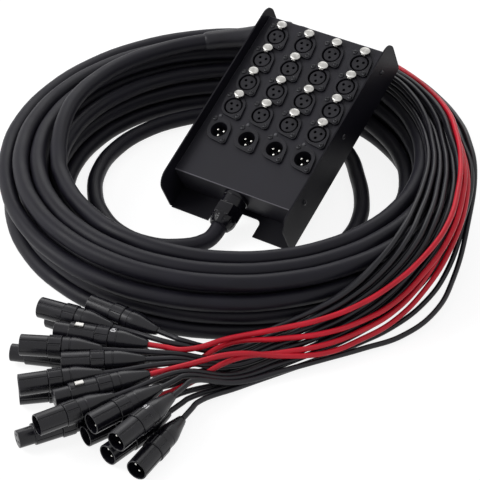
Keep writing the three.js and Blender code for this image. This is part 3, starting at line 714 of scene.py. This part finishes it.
def turned(profile, sides):
    """A round piece from its (radius, height) steps, closed at both ends."""
    bpy.ops.object.select_all(action="DESELECT")
    radius, height = profile[0]
    bpy.ops.mesh.primitive_circle_add(vertices=sides, radius=radius * MM, fill_type="NGON")
    piece = bpy.context.object
    bpy.ops.object.mode_set(mode="EDIT")
    bpy.ops.mesh.select_all(action="SELECT")
    bpy.ops.transform.translate(value=(0, 0, height * MM))
    for step_radius, step_height in profile[1:]:
        rise = {"value": (0, 0, (step_height - height) * MM), "orient_type": "GLOBAL"}
        bpy.ops.mesh.extrude_region_move(TRANSFORM_OT_translate=rise)
        share = step_radius / radius
        bpy.ops.transform.resize(value=(share, share, 1), center_override=(0, 0, step_height * MM))
        radius, height = step_radius, step_height
    bpy.ops.mesh.select_all(action="SELECT")
    bpy.ops.mesh.normals_make_consistent(inside=False)
    bpy.ops.object.mode_set(mode="OBJECT")
    return piece


def bar(low, high):
    """A square bar between two corners, in millimetres."""
    bpy.ops.object.select_all(action="DESELECT")
    low, high = Vector(low) * MM, Vector(high) * MM
    bpy.ops.mesh.primitive_cube_add(size=1, location=(low + high) / 2)
    piece = bpy.context.object
    piece.scale = high - low
    bpy.ops.object.transform_apply(location=True, rotation=True, scale=True)
    return piece


def another(piece):
    """A copy with its own mesh, and without what was said of the first to the frame."""
    copy = piece.copy()
    copy.data = piece.data.copy()
    for key in [key for key in copy.keys() if key.startswith("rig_")]:
        del copy[key]
    scene.collection.objects.link(copy)
    return copy


SCREW_RISE = 0.03
screw_black = finish(
    "screw_black",
    (0.02, 0.02, 0.023),
    (0.045, 0.045, 0.05),
    0.34,
    patch=400,
    grain=2500,
    depth=0.2,
    metallic=0.5,
    specular=0.3,
)
screw = turned([(2.6, -1), (2.6, 0.4), (2.3, 0.9), (1.6, 1.25), (0.8, 1.4)], 20)
combine(screw, bar((-1.7, -0.3, 0.6), (1.7, 0.3, 2)), "DIFFERENCE")
combine(screw, bar((-0.3, -1.7, 0.6), (0.3, 1.7, 2)), "DIFFERENCE")
smooth(screw)
for hand, side in (("left", -1), ("right", 1)):
    for number, along in enumerate((40, 120, 200), start=1):
        outward = Matrix.Rotation(side * math.pi / 2, 4, "Y")
        place = BOX_PLACE @ (Matrix.Translation((side * BOX_SIDE, along * MM, SCREW_RISE)) @ outward)
        name = f"cheek_screw_{hand}_{number}"
        seat(another(screw), name, place, screw_black, "snake", ["body_channel"])

# Female chassis jacks: black moulded sockets with two screw ears, a round groove for the
# plug's shell, three contact holes in the insert and a latch guide beside the mouth.
EAR = 10
EAR_RADIUS = 0.0036
FLANGE_RADIUS = 0.0123
FLANGE_THICKNESS = 0.002
FLANGE_MIDDLE = 0.0373
CONTACT_CIRCLE = 3.9
JACK_SIDES = 48


def flange_plate():
    """A jack's flange: a holed disc with an ear at the upper left and the lower right."""
    bpy.ops.object.select_all(action="DESELECT")
    bpy.ops.mesh.primitive_cylinder_add(
        vertices=JACK_SIDES, radius=FLANGE_RADIUS, depth=FLANGE_THICKNESS
    )
    piece = bpy.context.object
    bpy.ops.object.mode_set(mode="EDIT")
    for side in (-1, 1):
        ear = (side * EAR * MM, -side * EAR * MM, 0)
        bpy.ops.mesh.primitive_cylinder_add(
            vertices=24, radius=EAR_RADIUS, depth=FLANGE_THICKNESS, location=ear
        )
    bpy.ops.mesh.select_all(action="SELECT")
    bpy.ops.mesh.convex_hull()
    bpy.ops.mesh.dissolve_limited(angle_limit=math.radians(1))
    bpy.ops.object.mode_set(mode="OBJECT")
    piece.data.transform(Matrix.Translation((0, 0, FLANGE_MIDDLE)))
    combine(piece, turned([(9.7, 30), (9.7, 45)], JACK_SIDES), "DIFFERENCE")
    soften(piece, 0.35)
    return piece


def joined(pieces):
    alone(pieces[0])
    for piece in pieces[1:]:
        piece.select_set(True)
    bpy.ops.object.join()
    return bpy.context.object


def at_contacts(rod):
    """Three copies of a rod, one at each contact of a jack or plug, in place of the rod."""
    rods = []
    for angle in (30, 150, 270):
        around = math.radians(angle)
        x, y = CONTACT_CIRCLE * MM * math.cos(around), CONTACT_CIRCLE * MM * math.sin(around)
        standing = another(rod)
        standing.data.transform(Matrix.Translation((x, y, 0)))
        rods.append(standing)
    bpy.data.objects.remove(rod)
    return rods


jack_black = finish(
    "jack_black",
    (0.0062, 0.0058, 0.009),
    (0.01, 0.0094, 0.014),
    0.42,
    patch=90,
    grain=1400,
    depth=0.25,
    specular=0.26,
)
female_flange = flange_plate()
guide = bar((-3.5, 10.4, 36.2), (3.5, 15.9, 38.3))
combine(guide, bar((-2.3, 11.7, 30), (2.3, 14.7, 45)), "DIFFERENCE")
soften(guide, 0.3)
socket_steps = [(10.5, 16), (10.5, 37.6), (10.2, 37.9), (9.6, 37.9), (9.6, 30.3)]
socket_steps += [(8, 30.3), (8, 37.3), (7.6, 37.7)]
socket = turned(socket_steps, JACK_SIDES)
for rod in at_contacts(turned([(1.45, 32), (1.45, 40)], 16)):
    combine(socket, rod, "DIFFERENCE")
soften(socket, 0.12, angle=50, segments=1)
female_jack = joined([female_flange, guide, socket])
earth_strip = bar((-52, -2, 14.8), (52, 2, 16))
soften(earth_strip, 0.2)
strip_tin = finish(
    "strip_tin",
    (0.55, 0.55, 0.56),
    (0.66, 0.66, 0.67),
    0.3,
    patch=120,
    grain=900,
    depth=0.2,
    metallic=1.0,
)
jack_number = 0
for line, row in enumerate(ROWS[1:], start=1):
    node = [f"female_jacks_row_{line}"]
    for column in COLUMNS:
        jack_number += 1
        place = BOX_PLACE @ Matrix.Translation((column * MM, row * MM, 0))
        name = f"female_jack_{jack_number}"
        seat(another(female_jack), name, place, jack_black, "snake", node)
    place = BOX_PLACE @ Matrix.Translation((0, row * MM, 0))
    seat(another(earth_strip), f"earth_strip_{line}", place, strip_tin, "snake", node)
bpy.data.objects.remove(female_jack)
bpy.data.objects.remove(earth_strip)

# Push tabs: nickel-plated oval plates with a crowned top. Each sits on a stem in the
# latch guide, with a tongue that reaches down into the groove and holds the plug.
TAB_LENGTH = 11
TAB_WIDTH = 8.5
TAB_FROM_JACK = 13.2
tab_plate = turned([(5.2, 40.4), (5.5, 40.7), (5.5, 41.4), (5.2, 41.8), (4.2, 42.1), (2.4, 42.2)], 40)
tab_plate.data.transform(Matrix.Diagonal((1, TAB_WIDTH / TAB_LENGTH, 1, 1)))
tab_stem = bar((-2, -1.2, 32.4), (2, 1.2, 41))
tab_tongue = bar((-2.2, -4.7, 37.4), (2.2, -3.8, 41))
soften(tab_tongue, 0.3)
tab = joined([tab_plate, tab_stem, tab_tongue])
smooth(tab)
nickel_plate = finish(
    "nickel_plate",
    (0.38, 0.373, 0.355),
    (0.52, 0.513, 0.495),
    0.3,
    patch=260,
    grain=1800,
    depth=0.35,
    metallic=1.0,
)
tab_number = 0
for row in ROWS[1:]:
    for column in COLUMNS:
        tab_number += 1
        place = BOX_PLACE @ Matrix.Translation((column * MM, (row + TAB_FROM_JACK) * MM, 0))
        body = f"push_tab_{tab_number}_body"
        node = [f"push_tab_{tab_number}"]
        seat(another(tab), f"jack_tab_{tab_number}", place, nickel_plate, body, node)
bpy.data.objects.remove(tab)

# Male chassis jacks: the same flange round an open well with three plated contacts, for
# the four return lines along the near edge of the panel.
male_flange = flange_plate()
well_steps = [(10.5, 16), (10.5, 37.7), (10.2, 38.1), (8.8, 38.1), (8.4, 37.7), (8.4, 24.2), (8, 23.3)]
well = turned(well_steps, JACK_SIDES)
soften(well, 0.12, angle=50, segments=1)
male_jack = joined([male_flange, well])
jack_pins = joined(at_contacts(turned([(1.2, 22), (1.2, 33), (1.05, 33.5), (0.6, 33.8)], 16)))
smooth(jack_pins)
contact_silver = finish(
    "contact_silver",
    (0.6, 0.59, 0.55),
    (0.72, 0.71, 0.67),
    0.24,
    patch=300,
    grain=1500,
    depth=0.1,
    metallic=1.0,
)
for number, column in enumerate(COLUMNS, start=1):
    place = BOX_PLACE @ Matrix.Translation((column * MM, ROWS[0] * MM, 0))
    node = [f"male_jack_{number}"]
    seat(another(male_jack), f"male_socket_{number}", place, jack_black, "snake", node)
    seat(another(jack_pins), f"male_socket_pins_{number}", place, contact_silver, "snake", node)
bpy.data.objects.remove(male_jack)
bpy.data.objects.remove(jack_pins)

# Line marks: small dull aluminium rivets pressed into the panel, one up and left of each
# male jack, with a low domed head.
RIVET_FROM_COLUMN = -7.5
RIVET_LINE = 0.095
rivet_grey = finish(
    "rivet_grey",
    (0.07, 0.07, 0.078),
    (0.1, 0.1, 0.11),
    0.45,
    patch=300,
    grain=1500,
    depth=0.2,
    specular=0.3,
)
rivet = turned([(1.9, 35), (1.9, 36.3), (1.6, 36.8), (0.9, 37.1)], 20)
smooth(rivet, 50)
for number, column in enumerate(COLUMNS, start=1):
    place = BOX_PLACE @ Matrix.Translation(((column + RIVET_FROM_COLUMN) * MM, RIVET_LINE, 0))
    name = f"panel_rivet_{number}"
    seat(another(rivet), name, place, rivet_grey, "snake", ["panel_cover"])
bpy.data.objects.remove(rivet)

# Jack screws: the same blackened pan-head screws, two through the ears of each of the
# twenty jacks, each stopped at its own turn of the driver.
SCREW_SEAT = 0.0383
SCREW_TURN = 0.7
screw_number = 0
for line, row in enumerate(ROWS):
    for spot, column in enumerate(COLUMNS, start=1):
        for ear in (-EAR, EAR):
            screw_number += 1
            turn = Matrix.Rotation(screw_number * SCREW_TURN, 4, "Z")
            place = Matrix.Translation(((column + ear) * MM, (row - ear) * MM, SCREW_SEAT)) @ turn
            node = f"female_jacks_row_{line}" if line else f"male_jack_{spot}"
            name = f"jack_screw_{screw_number}"
            seat(another(screw), name, BOX_PLACE @ place, screw_black, "snake", [node])
bpy.data.objects.remove(screw)

# Cable gland: a black nylon body flanged on the near wall, with a hexagonal dome nut that
# squeezes a rubber seal on the multicore and relieves it of strain.


def fluted(profile, sides, test, width, depth):
    """A turned part with the chosen faces sunk into its side."""
    piece = turned(profile, sides)
    alone(piece)
    bpy.ops.object.mode_set(mode="EDIT")
    select_parts(piece, "faces", test)
    bpy.ops.mesh.inset(thickness=width * MM, depth=-depth * MM, use_individual=True)
    bpy.ops.object.mode_set(mode="OBJECT")
    soften(piece, 0.18)
    return piece


def side_of(at, sides, every, offset=0):
    """Whether a place on the round is in one of every so many facets."""
    facet = round(math.degrees(math.atan2(at.y, at.x)) % 360 / (360 / sides) - 0.5)
    return (facet + offset) % every == 0


gland_black = finish(
    "gland_black",
    (0.0034, 0.0031, 0.0054),
    (0.006, 0.0056, 0.0088),
    0.2,
    patch=80,
    grain=900,
    depth=0.15,
    specular=0.24,
)
GLAND_PLACE = BOX_PLACE @ Matrix.Translation(GLAND_HOLE) @ Matrix.Rotation(math.pi / 2, 4, "X")
gland_steps = [(12, -5.8), (12, -1.8), (10.5, -1.8), (10.5, 0.3), (13.4, 0.3), (13.4, 3.8)]
gland_steps += [(12.4, 3.8), (12.4, 12.8), (10.5, 12.8), (10.5, 20)]
gland_body = turned(gland_steps, 48)
soften(gland_body, 0.4)
seat(gland_body, "gland_thread", GLAND_PLACE, gland_black, "snake", ["gland_body"])
hexagon = turned([(14.2, 13.1), (15, 13.9), (15, 24.8), (14, 26.2)], 6)
hexagon.data.transform(Matrix.Rotation(math.radians(30), 4, "Z"))
soften(hexagon, 0.8, angle=40, segments=3)
DOME_SIDES = 36
dome = fluted(
    [(13.2, 24), (13.2, 27.2), (12.9, 29), (12.3, 31), (11.5, 33), (10.4, 35.1), (8.6, 35.1), (8.4, 30)],
    DOME_SIDES,
    lambda face, at: 27.5 < at.z < 34 and at.xy.length > 10.6 and side_of(at, DOME_SIDES, 3),
    width=0.15,
    depth=0.5,
)
dome_nut = joined([hexagon, dome])
seat(dome_nut, "gland_dome_nut", GLAND_PLACE, gland_black, "snake", ["gland_nut"])
seal = turned([(9.4, 30), (9.4, 35.2), (9, 35.5), (8.3, 35.5), (8.1, 34.8)], 40)
soften(seal, 0.1)
seat(seal, "gland_seal", GLAND_PLACE, rubber_jacket, "snake", ["gland_body"])

# Plug boots and collars: a tapered rubber boot takes the strain of the tail, and a ribbed
# black collar clamps it to the shell. All twenty plugs share both.
COLLAR_SIDES = 32
plug_black = finish(
    "plug_black",
    (0.0044, 0.0041, 0.0068),
    (0.0075, 0.007, 0.0108),
    0.25,
    patch=70,
    grain=1200,
    depth=0.12,
    specular=0.36,
)
boot_steps = [(3.2, 0), (4, 0.7), (4.7, 3), (5.6, 7), (6.9, 12), (8.2, 17), (9.1, 21), (9.4, 24), (9.4, 27)]
boot_steps += [(9, 27.4), (9, 28.2), (9.4, 28.6), (9.4, 34.4), (9, 35)]
boot = turned(boot_steps, 40)
soften(boot, 0.1, angle=50, segments=1)
collar = fluted(
    [(9.6, 35), (10.4, 35.6), (10.4, 46.6), (9.6, 47.2)],
    COLLAR_SIDES,
    lambda face, at: abs(face.normal.z) < 0.1 and side_of(at, COLLAR_SIDES, 4) and 36 < at.z < 46,
    width=0.3,
    depth=0.7,
)

# Number marks: each line's number in two white digits, printed on the front band of the
# plug's boot. It is drawn flat and wrapped round the boot. Most lie turned down.
NUMBER_SIZE = 0.0066
NUMBER_WEIGHT = 0.00012
STRIP = 0.6 * MM
BAND_PLACE = 31.5 * MM
BAND_RADIUS = 9.45 * MM
HIDDEN_ROLL = 130
ROLL_STEP = 25
male_rolls_seen = {16: 12}
female_rolls_seen = {4: 10}
number_white = finish(
    "number_white", (0.62, 0.62, 0.63), (0.78, 0.78, 0.79), 0.5, patch=500, grain=2500, depth=0.3
)


def number_mark(number, roll):
    """The line's number on its band, rolled by some degrees from the top of the plug."""
    bpy.ops.object.select_all(action="DESELECT")
    bpy.ops.object.text_add()
    mark = bpy.context.object
    mark.data.body = f"{number:02d}"
    mark.data.size = NUMBER_SIZE
    mark.data.offset = NUMBER_WEIGHT
    mark.data.align_x = "CENTER"
    mark.data.align_y = "CENTER"
    bpy.ops.object.convert(target="MESH")
    mark = bpy.context.object
    bpy.ops.object.mode_set(mode="EDIT")
    for strip in range(-8, 9):
        bpy.ops.mesh.select_all(action="SELECT")
        bpy.ops.mesh.bisect(plane_co=(strip * STRIP, 0, 0), plane_no=(1, 0, 0))
    bpy.ops.object.mode_set(mode="OBJECT")
    for vert in mark.data.vertices:
        around = vert.co.x / BAND_RADIUS + math.radians(roll)
        across, up = -BAND_RADIUS * math.sin(around), BAND_RADIUS * math.cos(around)
        vert.co = Vector((BAND_PLACE + vert.co.y, across, up))
    return mark


# Male plugs: sixteen black tails end in plugs with a black metal shell, which has long
# flutes outside and three silver contacts in its open well.
SHELL_SIDES = 36
male_shell = fluted(
    [(9.1, 47.2), (9.5, 47.8), (9.5, 71.9), (9.2, 72.3), (8.5, 72.3), (8.2, 71.9), (8.2, 59), (7.8, 58.3)],
    SHELL_SIDES,
    lambda face, at: abs(face.normal.z) < 0.1 and at.xy.length > 9 and side_of(at, SHELL_SIDES, 6),
    width=0.2,
    depth=0.6,
)
male_housing = joined([another(boot), another(collar), male_shell])
male_housing.data.transform(SIDEWAYS)
plug_pins = joined(at_contacts(turned([(1.2, 57), (1.2, 67.4), (1.05, 68), (0.6, 68.3)], 16)))
smooth(plug_pins)
plug_pins.data.transform(SIDEWAYS)


def plug_matrix(column, high, red):
    """The place of a plug in the fan, with its rear end at the origin and its nose along X."""
    heading, forward, neck, rear = fan_place(column, high, red)
    return Matrix.Translation(rear * MM) @ Matrix.Rotation(heading, 4, "Z")


for bundle in (0, 1, 2, 4):
    for row in range(4):
        lane = 2 * black_place(bundle) + row // 2
        number = 2 * lane + (2 if row % 2 else 1)
        place = plug_matrix(black_columns[lane], row % 2 == 1, False)
        node = [f"plug_male_{number}"]
        housing, pins = another(male_housing), another(plug_pins)
        seat(housing, f"male_housing_{number}", place, plug_black, "snake", node)
        seat(pins, f"male_pins_{number}", place, contact_silver, "snake", node)
        roll = male_rolls_seen.get(number, HIDDEN_ROLL + ROLL_STEP * (number % 4))
        mark = number_mark(number, roll)
        seat(mark, f"male_number_{number}", place, number_white, "snake", node)
bpy.data.objects.remove(male_housing)
bpy.data.objects.remove(plug_pins)

# Female plugs: the four red tails end in plugs with a slimmer nose, three contact holes
# and a key groove, and a nickel-plated latch button in the top of the body.
female_body = fluted(
    [(9.1, 47.2), (9.5, 47.8), (9.5, 70.9), (9.1, 71.4), (7.9, 71.6), (7.9, 84.9), (7.5, 85.3)],
    SHELL_SIDES,
    lambda face, at: abs(face.normal.z) < 0.1 and at.z < 70 and side_of(at, SHELL_SIDES, 6, 3),
    width=0.2,
    depth=0.5,
)
for rod in at_contacts(turned([(1.4, 79), (1.4, 90)], 16)):
    combine(female_body, rod, "DIFFERENCE")
combine(female_body, bar((6.1, -2.6, 58), (12, 2.6, 66.6)), "DIFFERENCE")
combine(female_body, bar((-9, -1.1, 74), (-7.1, 1.1, 90)), "DIFFERENCE")
female_housing = joined([another(boot), another(collar), female_body])
bpy.data.objects.remove(boot)
bpy.data.objects.remove(collar)
TOP_UP = SIDEWAYS @ Matrix.Rotation(math.pi / 2, 4, "Z")
female_housing.data.transform(TOP_UP)
latch_button = bar((58.3, -2.3, 7.6), (66.3, 2.3, 11.1))
soften(latch_button, 0.7, segments=3)
for row in range(4):
    place = plug_matrix(red_columns[row], row % 2 == 1, True)
    node = [f"plug_female_{row + 1}"]
    housing, button = another(female_housing), another(latch_button)
    seat(housing, f"female_housing_{row + 1}", place, plug_black, "snake", node)
    body = f"latch_button_{row + 1}_body"
    seat(button, f"plug_button_{row + 1}", place, nickel_plate, body, [f"latch_button_{row + 1}"])
    mark = number_mark(row + 1, female_rolls_seen.get(row + 1, HIDDEN_ROLL + ROLL_STEP * row))
    seat(mark, f"female_number_{row + 1}", place, number_white, "snake", node)
bpy.data.objects.remove(female_housing)
bpy.data.objects.remove(latch_button)

# Floor and light: a plain white floor that keeps a faint shadow, a soft lamp high on the
# left and a wider, weaker one on the left behind. Camera, mirror and glass rays see white.
FLOOR_SIZE = 12
FLOOR_LEVEL = -0.0002
LAMP_AIM = Vector((0, -0.05, 0))
WHITE_STRENGTH = 1.28
WHITE_SHARE = 0.68


def seen_directly(nodes, links):
    """One for a ray from the camera, a mirror or through glass, and nothing for the rest."""
    rays = nodes.new("ShaderNodeLightPath")
    seen = rays.outputs["Is Camera Ray"]
    for kind in ("Is Glossy Ray", "Is Transmission Ray"):
        either = nodes.new("ShaderNodeMath")
        either.operation = "MAXIMUM"
        links.new(seen, either.inputs[0])
        links.new(rays.outputs[kind], either.inputs[1])
        seen = either.outputs[0]
    return seen


bpy.ops.object.select_all(action="DESELECT")
bpy.ops.mesh.primitive_plane_add(size=FLOOR_SIZE, location=(0, 0, FLOOR_LEVEL))
floor = bpy.context.object
floor.name = "floor"
bpy.ops.object.transform_apply(location=True, rotation=True, scale=True)
floor_white = bpy.data.materials.new("floor_white")
floor_white.use_nodes = True
nodes, links = floor_white.node_tree.nodes, floor_white.node_tree.links
nodes.clear()
matt = nodes.new("ShaderNodeBsdfDiffuse")
matt.inputs["Color"].default_value = (0.8, 0.8, 0.8, 1)
lit = nodes.new("ShaderNodeEmission")
lit.inputs["Strength"].default_value = WHITE_STRENGTH
share = nodes.new("ShaderNodeMath")
share.operation = "MULTIPLY"
share.inputs[1].default_value = WHITE_SHARE
blend = nodes.new("ShaderNodeMixShader")
surface = nodes.new("ShaderNodeOutputMaterial")
links.new(seen_directly(nodes, links), share.inputs[0])
links.new(share.outputs[0], blend.inputs["Fac"])
links.new(matt.outputs[0], blend.inputs[1])
links.new(lit.outputs[0], blend.inputs[2])
links.new(blend.outputs[0], surface.inputs["Surface"])
floor.data.materials.append(floor_white)

world = bpy.data.worlds.new("studio")
scene.world = world
world.use_nodes = True
nodes, links = world.node_tree.nodes, world.node_tree.links
sky = nodes["Background"]
tint = nodes.new("ShaderNodeMix")
tint.data_type = "RGBA"
tint.inputs[6].default_value = (0.45, 0.45, 0.46, 1)
tint.inputs[7].default_value = (1, 1, 1, 1)
links.new(seen_directly(nodes, links), tint.inputs[0])
links.new(tint.outputs[2], sky.inputs["Color"])


def soft_lamp(name, place, size, power):
    """A square lamp turned towards the object."""
    lamp = bpy.data.lights.new(name, "AREA")
    lamp.size = size
    lamp.energy = power
    holder = bpy.data.objects.new(name, lamp)
    holder.location = place
    holder.rotation_euler = (LAMP_AIM - Vector(place)).to_track_quat("-Z", "Y").to_euler()
    scene.collection.objects.link(holder)


soft_lamp("key", (-1.5, -1.1, 1.35), size=1.1, power=26)
soft_lamp("back", (-0.9, 1.3, 1.5), size=1.3, power=9)
scene.view_settings.view_transform = "Standard"
